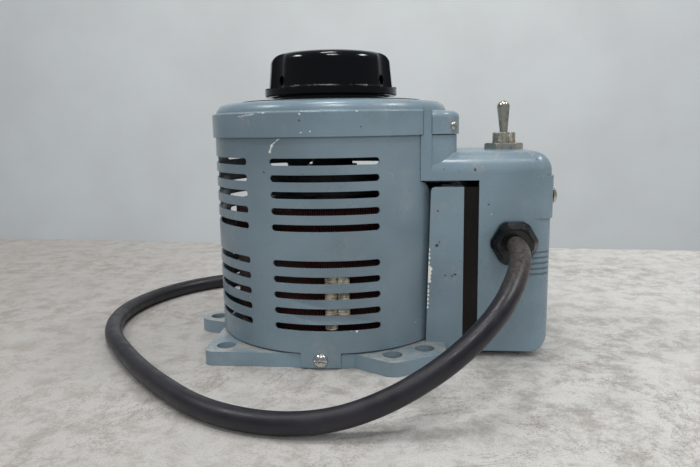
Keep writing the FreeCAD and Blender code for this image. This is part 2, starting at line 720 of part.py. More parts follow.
def housing_outline(grow_x=0.0, radius=HOUSING_ROUND, z0=BOX_BOTTOM, z1=BOX_TOP, shrink=0.0):
    """Plan shape of the box with round corners on its outer side, extruded."""
    shape = box(60, -SIDE + shrink, z0, BOX_X1 + grow_x - shrink, SIDE - shrink, z1)
    return fillet_where(shape, radius, lambda e: runs_along(e, Vector(0, 0, 1)) and e.CenterOfMass.x > 90)


def terminal_housing():
    arm = box(ARM_X0, -SIDE, ARM_BOTTOM, BOX_X0 + 5, SIDE, BOX_TOP)
    body = box(BOX_X0, -SIDE, BOX_BOTTOM, BOX_X1, SIDE, BOX_TOP).fuse(arm).removeSplitter()
    body = fillet_where(body, HOUSING_ROUND, is_rounded_edge)
    band = housing_outline(BAND_PROUD, HOUSING_ROUND, *BAND_Z).cut(box(50, -60, 0, 92, 60, 120))
    body = body.fuse(band)
    body = body.cut(groove_cutters())
    body = body.fuse(place(ring(21.0, 10, -3.5, 0.7), (BOX_X1, 0, OUTLET_Z), (1, 0, 0)))
    pilaster = box(PILASTER_X0, -SIDE, ARM_BOTTOM, PILASTER_X1, -SIDE + PILASTER_WALL, SKIRT_TOP)
    post = box(ARM_X0, -SIDE, ARM_BOTTOM, PILASTER_X1, -SIDE + PILASTER_WALL, SKIRT_BOTTOM - 0.1)
    neck = box(ARM_X0, -NECK_HALF, ARM_BOTTOM, NECK_X1, NECK_HALF, SKIRT_BOTTOM - 0.1)
    neck = fillet_where(neck, NECK_ROUND, is_hood_corner)
    body = body.fuse([neck, both_sides(post), both_sides(pilaster)]).removeSplitter()
    wall = HOUSING_WALL
    cavity = box(BOX_X0 - 1, -SIDE + wall, BOX_BOTTOM + wall, BOX_X1 - wall, SIDE - wall, BOX_TOP - wall)
    cavity = fillet_where(cavity, 3.4, lambda e: e.CenterOfMass.x > 85 and e.CenterOfMass.z > 50)
    duct = box(30, -SIDE + 5, ARM_BOTTOM + wall, BOX_X0 + 10, SIDE - 5, BOX_TOP - wall)
    inside = SIDE - PILASTER_WALL
    chimney = box(30, -inside, BOX_TOP - 6, NECK_X1 - 2.5, inside, 130)
    chimney = fillet_where(chimney, NECK_ROUND - 3.0, is_hood_corner)
    body = body.cut([cavity, duct, chimney])
    ports = [disc(BUSH_R + 0.2, 90, 110, PORT_X, 0), rod(8.1, (PORT_X, -50, GLAND_Z), (PORT_X, -30, GLAND_Z)),
             rod(OUTLET_R + 0.2, (90, 0, OUTLET_Z), (120, 0, OUTLET_Z))]
    for y in (-HOUSING_SCREW_Y, HOUSING_SCREW_Y):
        ports.append(rod(2.2, (100, y, HOUSING_SCREW_Z), (115, y, HOUSING_SCREW_Z)))
    return body.cut(ports)


def is_rounded_edge(e):
    c = e.CenterOfMass
    top = abs(c.z - BOX_TOP) < 0.01 and (abs(abs(c.y) - SIDE) < 0.01 or abs(c.x - BOX_X1) < 0.01)
    corner = abs(c.x - BOX_X1) < 0.01 and abs(abs(c.y) - SIDE) < 0.01
    bottom = abs(c.x - BOX_X1) < 0.01 and abs(c.z - BOX_BOTTOM) < 0.01
    return top or corner or bottom


def groove_cutters():
    cutters = []
    for k in range(GROOVES):
        z = GROOVE_Z0 + k * GROOVE_PITCH
        slab = housing_outline(2.0, HOUSING_ROUND, z - 0.45, z + 0.45, -2.0)
        keep = housing_outline(0.0, HOUSING_ROUND - 0.7, z - 1, z + 1, 0.7)
        cutters.append(slab.cut(keep).cut(box(50, -60, 0, GROOVE_X0, 60, 120)))
    return cutters


def housing_screws():
    screw = pan_screw(4.15, 1.9, 1.85, BOX_X1 + BAND_PROUD - UPRIGHT_X1 + 8)
    return Part.Compound([place(screw, (BOX_X1 + BAND_PROUD + 0.02, k * HOUSING_SCREW_Y, HOUSING_SCREW_Z),
                                (1, 0, 0), 20 + 50 * k) for k in (-1, 1)])


# ---------------------------------------------------------------- receptacle
def receptacle():
    body = rod(OUTLET_R, (92, 0, OUTLET_Z), (BOX_X1 + 0.9, 0, OUTLET_Z))
    body = body.fuse(rod(19.0, (86, 0, OUTLET_Z), (BOX_X1 - HOUSING_WALL - 0.75, 0, OUTLET_Z)))
    for y, half in ((-BLADE_Y, 3.4), (BLADE_Y, 4.1)):
        z = OUTLET_Z + 3
        body = body.cut(box(BOX_X1 - 11, y - 1.05, z - half, BOX_X1 + 2, y + 1.05, z + half))
    return body.cut(rod(2.45, (BOX_X1 - 11, 0, OUTLET_Z - 8.9), (BOX_X1 + 2, 0, OUTLET_Z - 8.9)))


def receptacle_contacts():
    x0, x1 = BOX_X1 - 11, BOX_X1 - 4
    parts = [box(x0, y - 1.05, OUTLET_Z - 0.3, x0 + 6, y - 0.55, OUTLET_Z + 6.3) for y in (-BLADE_Y, BLADE_Y)]
    parts.append(rod(2.45, (x0, 0, OUTLET_Z - 8.9), (x1, 0, OUTLET_Z - 8.9)).cut(
        rod(1.9, (x0 + 1, 0, OUTLET_Z - 8.9), (x1 + 1, 0, OUTLET_Z - 8.9))))
    return Part.Compound(parts)


def receptacle_strap():
    x0, x1 = BOX_X1 - HOUSING_WALL - 0.75, BOX_X1 - HOUSING_WALL
    strap = box(x0, -30, OUTLET_Z - 6, x1, 30, OUTLET_Z + 6)
    strap = strap.fuse(rod(20.5, (x0, 0, OUTLET_Z), (x1, 0, OUTLET_Z))).removeSplitter()
    return strap.cut(rod(OUTLET_R, (x0 - 1, 0, OUTLET_Z), (x1 + 1, 0, OUTLET_Z)))


def strap_screws():
    screw = pan_screw(3.0, 1.9, 1.5, 0.01)
    x = BOX_X1 - HOUSING_WALL - 0.76
    return Part.Compound([place(screw, (x, k * 26, OUTLET_Z), (-1, 0, 0)) for k in (-1, 1)])


# ---------------------------------------------------------------- toggle switch
def switch_body():
    return box(PORT_X - 8.5, -15, 72.0, PORT_X + 8.5, 15, 90.0)


def switch_frame():
    plate = box(PORT_X - 9.3, -15.5, 90.0, PORT_X + 9.3, 15.5, 91.2)
    ears = [box(x, -4, 80, x + 0.8, 4, 90.5) for x in (PORT_X - 9.3, PORT_X + 8.5)]
    return plate.fuse(ears).removeSplitter()


def switch_bushing():
    body = disc(BUSH_R, 91.2, 108.1, PORT_X, 0)
    body = fillet_where(body, 0.6, lambda e: e.CenterOfMass.z > 108)
    for k in range(6):
        z = 104.0 + 0.75 * k
        thread = ring(BUSH_R + 1, BUSH_R - 0.28, z, z + 0.32, PORT_X, 0)
        body = body.cut(thread)
    body = body.cut(disc(4.2, 95.5, 109, PORT_X, 0))
    body = body.cut(box(PORT_X - 0.8, -BUSH_R - 1, 96, PORT_X + 0.8, -BUSH_R + 0.7, 110))
    return body.cut(rod(0.85, (PORT_X - 5.4, 0, LEVER_PIVOT_Z), (PORT_X + 5.4, 0, LEVER_PIVOT_Z)))


def switch_nuts():
    outer = hexagon(NUT_FLATS, BOX_TOP, BOX_TOP + 3.2, PORT_X, 0)
    chamfer = turned([(0, -2), (9.1, -2), (9.95, -0.6), (9.95, 2.6), (9.1, 3.2), (0, 3.2)])
    outer = outer.common(place(chamfer, (PORT_X, 0, BOX_TOP), (0, 0, 1)))
    inner = hexagon(NUT_FLATS, BOX_TOP - HOUSING_WALL - 2.6, BOX_TOP - HOUSING_WALL - 0.1, PORT_X, 0)
    return Part.Compound([n.cut(disc(BUSH_R, 80, 120, PORT_X, 0)) for n in (outer, inner)])


def switch_terminals():
    return Part.Compound([box(PORT_X - 2.5, y - 0.5, 67.0, PORT_X + 2.5, y + 0.5, 72.0) for y in (-9, 9)])


def switch_lever():
    bat = cone(1.75, 3.3, (0, 0, LEVER_PIVOT_Z + 3), (0, 0, LEVER_TIP_Z - 3.3))
    tip = Part.makeSphere(3.3, Vector(0, 0, LEVER_TIP_Z - 3.3))
    ball = Part.makeSphere(2.9, Vector(0, 0, LEVER_PIVOT_Z))
    neck = disc(1.75, LEVER_PIVOT_Z - 5.5, LEVER_PIVOT_Z + 3.01)
    pin = rod(0.8, (-5.3, 0, LEVER_PIVOT_Z), (5.3, 0, LEVER_PIVOT_Z))
    lever = bat.fuse([tip, ball, neck, pin]).removeSplitter()
    lever.rotate(Vector(0, 0, LEVER_PIVOT_Z), Vector(1, 0, 0), -LEVER_LEAN)
    lever.translate(Vector(PORT_X, 0, 0))
    return lever


# ---------------------------------------------------------------- gland, wires and cord
def hexagon_wire(radius, z):
    corners = [polar(radius, 60 * k) for k in range(7)]
    return Part.makePolygon([Vector(x, y, z) for x, y in corners])


def strain_relief():
    """Two-part grip bushing: bevelled head outside, locking steps inside, bore on the cord."""
    head = turned([(CORD_R, 0), (11.0, 0), (11.0, 3.0), (8.4, 7.4), (7.2, 8.0), (CORD_R, 8.0)])
    facets = Part.makeLoft([hexagon_wire(11.8, -0.01), hexagon_wire(11.8, 3.4), hexagon_wire(8.8, 8.01)],
                           True, True)
    head = head.common(facets)
    barrel = turned([(CORD_R, -12), (7.2, -12), (7.6, -4), (8.0, -3.2), (8.0, 0.1), (CORD_R, 0.1)])
    return place(head.fuse(barrel), (PORT_X, -SIDE, GLAND_Z), (0, -1, 0))


def supply_wires():
    start_y = -SIDE + 12.6
    near = [(PORT_X - 1.6, start_y, GLAND_Z), (PORT_X - 1.6, -22, 57.6), (PORT_X - 1.6, -17, 63.0),
            (PORT_X - 1.6, -12.4, 69.3), (PORT_X - 1.6, -9.75, 69.6)]
    far = [(PORT_X + 1.6, start_y, GLAND_Z), (PORT_X + 2.8, -22, 58.5), (PORT_X + 5.0, -16, 67.4),
           (PORT_X + 5.0, -6, 68.6), (PORT_X + 2.2, 3, 69.4), (PORT_X + 1.6, 8.2, 69.6)]
    return Part.Compound([tube(near, 0.9), tube(far, 0.9)])


def cord_jacket_inside():
    return rod(CORD_R, (PORT_X, -SIDE + 12, GLAND_Z), (PORT_X, CORD_EXIT[1] + 0.1, GLAND_Z))


def power_cord():
    return tube(CORD_ROUTE, CORD_R, "power cord")


def cord_tail():
    return tube(TAIL_ROUTE, CORD_R, "cord tail")


def cord_coil():
    """Outer shape of two flat spirals of cord, one on the other."""
    inner, outer = TURN_R[0] - CORD_R, TURN_R[1] + CORD_R
    print("coil length", round(TURNS * math.pi * sum(TURN_R), 1))
    return ring(outer, inner, 0, 4 * CORD_R, COIL_CX, COIL_CY)


def plug_body():
    """Moulded grounding plug, lying on its side: round grip, block at the blades, cord entry at its back."""
    y = TAIL_ROUTE[-1][1]
    neck = cone(6.0, 9.0, (PLUG_X, y, PLUG_Z), (PLUG_X + 14, y, PLUG_Z))
    grip = cone(9.0, 12.6, (PLUG_X + 14, y, PLUG_Z), (PLUG_X + 24, y, PLUG_Z))
    block = box(PLUG_X + 22, y - 13, PLUG_Z - 13.4, PLUG_X + 36, y + 13, PLUG_Z + 13.4)
    block = fillet_where(block, 6.0, lambda e: runs_along(e, Vector(1, 0, 0)))
    return neck.fuse([grip, block]).removeSplitter()


def plug_blades():
    y, x = TAIL_ROUTE[-1][1], PLUG_X + 36
    blades = [box(x, y + side - 0.75, PLUG_Z - 0.2, x + 17, y + side + 0.75, PLUG_Z + 6.1)
              for side in (-BLADE_Y, BLADE_Y)]
    pin = rod(2.38, (x, y, PLUG_Z - 8.9), (x + 18, y, PLUG_Z - 8.9))
    tip = Part.makeSphere(2.38, Vector(x + 18, y, PLUG_Z - 8.9))
    blades.append(pin.fuse(tip).removeSplitter())
    return Part.Compound(blades)


NODES = {
    "base_casting": base_casting,
    "perforated_cover": perforated_cover,
    "cover_screws": cover_screws,
    "lid": lid,
    "hood_screws": hood_screws,
    "dial_plate": dial_plate,
    "dial_rivets": dial_rivets,
    "lower_coil_ring": lower_coil_ring,
    "core": core,
    "core_insulation": core_insulation,
    "winding": winding,
    "upper_coil_ring": upper_coil_ring,
    "clamp_plate": clamp_plate,
    "clamp_screws": clamp_screws,
    "winding_leads": winding_leads,
    "tap_sleeve": tap_sleeve,
    "shaft": shaft,
    "lower_bushing": lower_bushing,
    "upper_bushing": upper_bushing,
    "upper_bushing_nut": upper_bushing_nut,
    "shaft_collar": collar,
    "set_screws": set_screws,
    "brush_rotor": rotor,
    "brush_holder": brush_holder,
    "brush_cap": brush_cap,
    "carbon_brush": carbon_brush,
    "brush_spring": brush_spring,
    "slip_ring": slip_ring,
    "stop_plate": stop_plate,
    "contact_block": contact_block,
    "contact_finger": contact_finger,
    "control_knob": control_knob,
    "knob_insert": knob_insert,
    "knob_set_screws": knob_set_screws,
    "terminal_board": terminal_board,
    "terminal_screws": terminal_screws,
    "terminal_tags": terminal_tags,
    "terminal_housing": terminal_housing,
    "housing_screws": housing_screws,
    "receptacle": receptacle,
    "receptacle_contacts": receptacle_contacts,
    "receptacle_strap": receptacle_strap,
    "strap_screws": strap_screws,
    "switch_body": switch_body,
    "switch_frame": switch_frame,
    "switch_bushing": switch_bushing,
    "switch_nuts": switch_nuts,
    "switch_terminals": switch_terminals,
    "switch_lever": switch_lever,
    "strain_relief": strain_relief,
    "cord_jacket_inside": cord_jacket_inside,
    "supply_wires": supply_wires,
    "power_cord": power_cord,
    "cord_tail": cord_tail,
    "cord_coil": cord_coil,
    "plug_body": plug_body,
    "plug_blades": plug_blades,
}

os.makedirs("parts", exist_ok=True)
for name, make in NODES.items():
    shape = make()
    if not shape.isValid():
        print("INVALID", name)
    solids = shape.Solids
    out = solids[0] if len(solids) == 1 else Part.Compound(solids)
    out.exportStep(f"parts/{name}.step")
    extent = out.BoundBox
    print(f"{name}: {len(solids)} solid(s), volume {out.Volume / 1000:.2f} cm3,",
          f"z {extent.ZMin:.2f} to {extent.ZMax:.2f}, x {extent.XMin:.1f} to {extent.XMax:.1f}")
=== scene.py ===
import bmesh
import bpy
import json
import math
from mathutils import Matrix, Vector


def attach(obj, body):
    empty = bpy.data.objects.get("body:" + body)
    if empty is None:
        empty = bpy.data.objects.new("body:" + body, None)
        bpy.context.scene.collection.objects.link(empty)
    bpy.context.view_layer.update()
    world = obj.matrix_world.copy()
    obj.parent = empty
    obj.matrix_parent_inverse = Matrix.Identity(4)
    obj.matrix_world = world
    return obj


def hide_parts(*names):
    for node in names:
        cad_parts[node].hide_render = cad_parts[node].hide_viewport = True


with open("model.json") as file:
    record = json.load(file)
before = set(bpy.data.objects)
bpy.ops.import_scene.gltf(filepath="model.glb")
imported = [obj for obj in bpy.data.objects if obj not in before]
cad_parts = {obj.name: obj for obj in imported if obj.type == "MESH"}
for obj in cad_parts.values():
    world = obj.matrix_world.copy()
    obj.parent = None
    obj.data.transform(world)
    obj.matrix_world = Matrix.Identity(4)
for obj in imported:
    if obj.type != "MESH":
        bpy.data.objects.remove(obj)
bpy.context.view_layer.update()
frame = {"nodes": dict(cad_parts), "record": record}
NODES = frame["nodes"]
MM = 0.001


def v(x, y, z):
    """A place given in millimetres, in metres."""
    return Vector((x * MM, y * MM, z * MM))


# ---------------------------------------------------------------- camera
CAMERA_PLACE = (41.5, -339.0, 111.5)
CAMERA_TURN = 5.5
CAMERA_DOWN = 9.488
CAMERA_ROLL = 0.945
SENSOR_WIDTH = 36.0
LENS = 32.4


def make_camera():
    turn, down, roll = (math.radians(angle) for angle in (CAMERA_TURN, CAMERA_DOWN, CAMERA_ROLL))
    right = Vector((math.cos(turn), math.sin(turn), 0))
    ahead = Vector((-math.sin(turn) * math.cos(down), math.cos(turn) * math.cos(down), -math.sin(down)))
    up = right.cross(ahead)
    cam_right = right * math.cos(roll) - up * math.sin(roll)
    cam_up = right * math.sin(roll) + up * math.cos(roll)
    cam = bpy.data.objects.new("camera", bpy.data.cameras.new("camera"))
    bpy.context.scene.collection.objects.link(cam)
    facing = Matrix((cam_right, cam_up, -ahead)).transposed().to_4x4()
    cam.matrix_world = Matrix.Translation(v(*CAMERA_PLACE)) @ facing
    cam.data.sensor_width = SENSOR_WIDTH
    cam.data.lens = LENS
    cam.data.clip_start = 0.01
    cam.data.clip_end = 20.0
    bpy.context.scene.camera = cam


make_camera()

# ---------------------------------------------------------------- cord
CORD_R = 4.5
COIL_X = 15.0
COIL_Y = 156.5
OUTER_TURN = 58.5
INNER_TURN = 40.5
TURNS = 4
POINTS_PER_TURN = 20
CLIMB_START = 1.85
CLIMB_TURNS = 0.3
CORD_ROUTE = [
    (90.4, -47.5, 56.8), (90.2, -60, 56.6), (88.4, -72, 54.4), (84.6, -84, 49.6), (79.2, -95, 43.2),
    (71.6, -104, 36.2), (61.4, -111.5, 28.4), (49.0, -117.5, 20.6), (33.0, -122.5, 12.6),
    (14.0, -126, 6.6), (-6, -126, 4.5), (-26, -121.5, 4.5), (-44, -111.5, 4.5),
    (-61, -96, 4.5), (-79, -78, 4.5), (-99, -54, 4.5), (-119, -26, 4.5),
    (-130, 6, 4.5), (-129, 38, 4.5), (-117, 69, 4.5), (-95, 93, 4.5),
    (-67, 104, 4.5), (-38, 104, 4.5), (-12, 99.4, 4.5),
]
TAIL_ROUTE = [(x, 98, 3 * CORD_R) for x in (34, 48, 65)]


def coil_points():
    """Two flat spirals: inwards on the table, then outwards on top of the first."""
    points = []
    for k in range(TURNS * POINTS_PER_TURN + 1):
        t = k / POINTS_PER_TURN
        share = abs(t - TURNS / 2) / (TURNS / 2)
        radius = INNER_TURN + (OUTER_TURN - INNER_TURN) * share
        climb = min(max((t - CLIMB_START) / CLIMB_TURNS, 0), 1)
        a = math.radians(-90 + 360 * t)
        z = CORD_R * (1 + 2 * climb * climb * (3 - 2 * climb))
        points.append((COIL_X + radius * math.cos(a), COIL_Y + radius * math.sin(a), z))
    return points


def make_cord():
    """The whole cord on one curve: from the strain relief, round the front, into the coil and to the plug."""
    data = bpy.data.curves.new("power_cord_line", "CURVE")
    data.dimensions = "3D"
    data.bevel_depth = 1.0
    data.bevel_resolution = 6
    data.resolution_u = 8
    data.use_fill_caps = True
    points = CORD_ROUTE + coil_points() + TAIL_ROUTE
    spline = data.splines.new("NURBS")
    spline.points.add(len(points) - 1)
    for p, place in zip(spline.points, points):
        p.co = (*v(*place), 1.0)
        p.radius = CORD_R * MM
    spline.order_u = 3
    spline.use_endpoint_u = True
    cord = bpy.data.objects.new("power_cord_line", data)
    bpy.context.scene.collection.objects.link(cord)
    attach(cord, "stand")
    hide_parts("power_cord", "cord_coil", "cord_tail")
    return cord


cord_piece = make_cord()


# ---------------------------------------------------------------- material helpers
SOCKETS = {
    "metallic": "Metallic",
    "roughness": "Roughness",
    "specular": "Specular IOR Level",
}


class Maker:
    """Short names for building one node-based material."""

    def __init__(self, name):
        self.material = bpy.data.materials.new(name)
        self.material.use_nodes = True
        self.tree = self.material.node_tree
        self.shader = next(n for n in self.tree.nodes if n.type == "BSDF_PRINCIPLED")
        self.coords = self.tree.nodes.new("ShaderNodeTexCoord").outputs["Object"]

    def node(self, kind, **settings):
        n = self.tree.nodes.new(kind)
        for key, value in settings.items():
            setattr(n, key, value)
        return n

    def link(self, source, target):
        self.tree.links.new(source, target)

    def constant(self, **values):
        """Shader values that are the same all over the surface."""
        for key, value in values.items():
            self.shader.inputs[SOCKETS[key]].default_value = value

    def scaled(self, scale):
        """Coordinates stretched along the axes."""
        m = self.node("ShaderNodeMapping")
        m.inputs["Scale"].default_value = scale
        self.link(self.coords, m.inputs["Vector"])
        return m.outputs["Vector"]

    def noise(self, scale, detail=4.0, rough=0.55, vector=None, distortion=0.0):
        n = self.node("ShaderNodeTexNoise")
        self.link(vector or self.coords, n.inputs["Vector"])
        n.inputs["Scale"].default_value = scale
        n.inputs["Detail"].default_value = detail
        n.inputs["Roughness"].default_value = rough
        n.inputs["Distortion"].default_value = distortion
        return n.outputs["Fac"]

    def ramp(self, source, low, high, a=0.0, b=1.0):
        """a where the source is below low, b where it is above high, and a smooth step between."""
        n = self.node("ShaderNodeMapRange")
        n.interpolation_type = "SMOOTHSTEP"
        self.link(source, n.inputs["Value"])
        for key, value in zip(("From Min", "From Max", "To Min", "To Max"), (low, high, a, b)):
            n.inputs[key].default_value = value
        return n.outputs["Result"]

    def math(self, operation, a, b=0.0):
        n = self.node("ShaderNodeMath", operation=operation)
        for socket, value in zip(n.inputs, (a, b)):
            if isinstance(value, (int, float)):
                socket.default_value = value
            else:
                self.link(value, socket)
        return n.outputs[0]

    def mix(self, share, a, b):
        """Colour a, with a share of colour b over it."""
        n = self.node("ShaderNodeMix", data_type="RGBA")
        for socket, value in ((n.inputs["Factor"], share), (n.inputs["A"], a), (n.inputs["B"], b)):
            if hasattr(value, "is_output"):
                self.link(value, socket)
            elif isinstance(value, (int, float)):
                socket.default_value = value
            else:
                socket.default_value = (*value, 1.0)
        return n.outputs["Result"]

    def axes(self):
        n = self.node("ShaderNodeSeparateXYZ")
        self.link(self.coords, n.inputs[0])
        return n.outputs["X"], n.outputs["Y"], n.outputs["Z"]

    def warped(self, scale, amount):
        """Coordinates pushed about by noise, so that what is drawn with them gets ragged edges."""
        n = self.node("ShaderNodeTexNoise")
        self.link(self.coords, n.inputs["Vector"])
        n.inputs["Scale"].default_value = scale
        n.inputs["Detail"].default_value = 3.0
        push = self.node("ShaderNodeVectorMath", operation="MULTIPLY_ADD")
        self.link(n.outputs["Color"], push.inputs[0])
        push.inputs[1].default_value = (2 * amount,) * 3
        self.link(self.coords, push.inputs[2])
        back = self.node("ShaderNodeVectorMath", operation="SUBTRACT")
        self.link(push.outputs[0], back.inputs[0])
        back.inputs[1].default_value = (amount,) * 3
        return back.outputs[0]

    def near(self, place, radius, soft=0.5, vector=None):
        """1 within a radius of a place, both in millimetres, and 0 outside it."""
        n = self.node("ShaderNodeVectorMath", operation="DISTANCE")
        self.link(vector or self.coords, n.inputs[0])
        n.inputs[1].default_value = v(*place)
        return self.ramp(n.outputs["Value"], radius * (1 - soft) * MM, radius * MM, 1.0, 0.0)

    def chips(self, places):
        """Ragged spots, each given as a place and a radius in millimetres."""
        ragged = self.warped(900, 0.9 * MM)
        return self.any_of([self.near(place, radius, 0.12, ragged) for place, radius in places])

    def any_of(self, masks):
        """1 where any of the masks is 1."""
        out = masks[0]
        for m in masks[1:]:
            out = self.math("MAXIMUM", out, m)
        return out

    def bump(self, height, strength, distance, edge=0.0):
        """Surface relief. With an edge radius in metres, sharp edges are shaded as rounded ones."""
        n = self.node("ShaderNodeBump")
        self.link(height, n.inputs["Height"])
        n.inputs["Strength"].default_value = strength
        n.inputs["Distance"].default_value = distance
        if edge:
            bevel = self.node("ShaderNodeBevel", samples=4)
            bevel.inputs["Radius"].default_value = edge
            self.link(bevel.outputs["Normal"], n.inputs["Normal"])
        self.link(n.outputs["Normal"], self.shader.inputs["Normal"])

    def color(self, source):
        self.link(source, self.shader.inputs["Base Color"])

    def rough(self, source):
        self.link(source, self.shader.inputs["Roughness"])


# ---------------------------------------------------------------- materials
SHEET_ENAMEL = (0.166, 0.222, 0.258)
# Painted light: the cast parts (lid, base, box) get a lighter, bluer copy of the same enamel, standing in for
# the brighter light on them.
CAST_ENAMEL_PAINTED_LIGHT = (0.18, 0.247, 0.29)
PRIMER = (0.035, 0.035, 0.037)
BARE = (0.68, 0.67, 0.63)
DUST = (0.34, 0.325, 0.29)
GRIME = (0.11, 0.1, 0.085)
SCUFF = (0.3, 0.262, 0.24)
BAKELITE = (0.0012, 0.0013, 0.002)
BAKELITE_DUST = (0.13, 0.13, 0.13)
PLASTIC = (0.006, 0.006, 0.007)
PLASTIC_DUST = (0.12, 0.11, 0.095)
RUBBER_DARK = (0.0075, 0.007, 0.0105)
RUBBER_LIGHT = (0.015, 0.013, 0.017)
RUBBER_DUST = (0.085, 0.075, 0.065)
RUBBER_BROWN = (0.12, 0.095, 0.065)
VARNISH_RED = (0.085, 0.018, 0.012)
VARNISH_DARK = (0.045, 0.013, 0.014)
# Painted shade: near-black colour for the grooves between the turns of wire.
WIRE_GAP_PAINTED_SHADE = (0.006, 0.003, 0.004)
PHENOLIC = (0.0045, 0.0035, 0.003)
SLEEVE_CREAM = (0.66, 0.6, 0.47)
SLEEVE_STAIN = (0.2, 0.16, 0.11)
DUSTY_CORD_PLACE = (88, -62, 52)
DUSTY_CORD_RADIUS = 46
WIRE_TURNS = 300.0
WEAVE_RADIANS_PER_METRE = 5200.0
EDGE = 0.4 * MM
PLATED_EDGE = 0.25 * MM
FINE_RELIEF = 0.1 * MM
RELIEF = 0.2 * MM


def enamel(name, tint, bare_places=(), dark_places=(), scuffs=(), worn=0.0):
    """Blue-grey enamel: mottling, orange peel, dust and grime, with chips and scuffs at the named places.

    The dark places are chipped to the primer and the bare ones to the metal. worn is how thickly dust lies on
    the faces that look up.
    """
    m = Maker(name)
    tone = m.ramp(m.noise(18, 3), 0.35, 0.7)
    base = m.mix(tone, tint, tuple(0.76 * c for c in tint))
    dust = m.ramp(m.noise(55, 6, 0.7), 0.55, 0.8, 0.0, 0.3)
    base = m.mix(dust, base, DUST)
    grime = m.ramp(m.noise(300, 5, 0.7, distortion=0.6), 0.62, 0.74, 0.0, 0.35)
    patchy = m.ramp(m.noise(22, 3), 0.5, 0.66)
    base = m.mix(m.math("MULTIPLY", grime, patchy), base, GRIME)
    specks = m.ramp(m.noise(620, 2, 0.5), 0.735, 0.76)
    dark = m.math("MULTIPLY", specks, m.ramp(m.noise(34, 2), 0.52, 0.62))
    if dark_places:
        dark = m.math("MAXIMUM", dark, m.chips(dark_places))
    if scuffs:
        rubbed = m.any_of([m.near(place, radius, 0.7) for place, radius in scuffs])
        streaks = m.ramp(m.noise(420, 6, 0.68), 0.5, 0.66, 0.0, 0.6)
        base = m.mix(m.math("MULTIPLY", rubbed, streaks), base, SCUFF)
    if worn:
        patches = m.ramp(m.noise(75, 6, 0.7), 0.38, 0.6, 0.0, worn)
        normal = m.node("ShaderNodeSeparateXYZ")
        m.link(m.node("ShaderNodeNewGeometry").outputs["Normal"], normal.inputs[0])
        top = m.ramp(normal.outputs["Z"], 0.6, 0.9)
        base = m.mix(m.math("MULTIPLY", patches, top), base, DUST)
    base = m.mix(dark, base, PRIMER)
    bare = m.ramp(m.noise(700, 2, 0.5, distortion=0.4), 0.77, 0.79)
    bare = m.math("MULTIPLY", bare, m.ramp(m.noise(23, 2), 0.52, 0.62))
    if bare_places:
        bare = m.math("MAXIMUM", bare, m.chips(bare_places))
    m.color(m.mix(bare, base, BARE))
    m.rough(m.ramp(m.noise(40, 4), 0.3, 0.75, 0.22, 0.38))
    peel = m.math("ADD", m.noise(900, 2), m.math("MULTIPLY", m.math("ADD", dark, bare), -1.4))
    m.bump(peel, 0.12, RELIEF, EDGE)
    m.constant(specular=0.5)
    return m.material


def gloss_black(name):
    """Polished bakelite with a little dust."""
    m = Maker(name)
    dust = m.ramp(m.noise(520, 6, 0.75), 0.64, 0.78, 0.0, 0.08)
    m.color(m.mix(dust, BAKELITE, BAKELITE_DUST))
    m.rough(m.ramp(m.noise(70, 5, 0.6), 0.35, 0.8, 0.1, 0.2))
    m.bump(m.noise(420, 3), 0.05, RELIEF, EDGE)
    m.constant(specular=0.32)
    return m.material


def moulded(name, tone=PLASTIC, rough=0.34):
    """Moulded plastic, or anything else matt and of one colour, with dust in patches."""
    m = Maker(name)
    dust = m.ramp(m.noise(180, 6, 0.7), 0.55, 0.8, 0.0, 0.12)
    m.color(m.mix(dust, tone, PLASTIC_DUST))
    m.rough(m.ramp(m.noise(90, 4), 0.3, 0.8, rough, rough + 0.18))
    m.bump(m.noise(800, 3), 0.1, RELIEF, EDGE)
    return m.material


def rubber(name):
    """Cord jacket: dusty purple-black, browner near the strain relief, with fine scuffs."""
    m = Maker(name)
    tone = m.ramp(m.noise(30, 4, 0.6), 0.35, 0.7)
    base = m.mix(tone, RUBBER_DARK, RUBBER_LIGHT)
    dusty = m.near(DUSTY_CORD_PLACE, DUSTY_CORD_RADIUS, 0.9)
    grain = m.ramp(m.noise(700, 6, 0.75), 0.36, 0.66)
    base = m.mix(m.math("MULTIPLY", m.math("MULTIPLY", dusty, grain), 0.62), base, RUBBER_BROWN)
    dust = m.ramp(m.noise(150, 6, 0.75), 0.58, 0.8, 0.0, 0.18)
    m.color(m.mix(dust, base, RUBBER_DUST))
    m.rough(m.ramp(m.noise(120, 4), 0.3, 0.8, 0.34, 0.55))
    m.bump(m.math("ADD", m.noise(500, 3), m.noise(2600, 2)), 0.16, RELIEF)
    return m.material


def plated(name, color, rough, grime=0.5):
    """Plated or plain metal, dulled in patches by dirt."""
    m = Maker(name)
    dirt = m.ramp(m.noise(330, 5, 0.65), 0.48, 0.75, 0.0, grime)
    m.color(m.mix(dirt, color, tuple(0.25 * c for c in color)))
    m.rough(m.ramp(m.noise(210, 4), 0.3, 0.8, rough, rough + 0.22))
    m.bump(m.noise(900, 3), 0.08, FINE_RELIEF, PLATED_EDGE)
    m.constant(metallic=1.0)
    return m.material


def satin_metal(name, color, rough):
    """Drawn or turned metal with fine scratches."""
    m = Maker(name)
    lines = m.noise(60, 3, 0.5, m.scaled((4, 4, 60)))
    stain = m.ramp(m.noise(90, 5), 0.4, 0.75, 0.0, 0.35)
    m.color(m.mix(stain, color, tuple(0.6 * c for c in color)))
    m.rough(m.ramp(lines, 0.3, 0.75, rough, rough + 0.2))
    m.bump(lines, 0.08, FINE_RELIEF)
    m.constant(metallic=1.0)
    return m.material


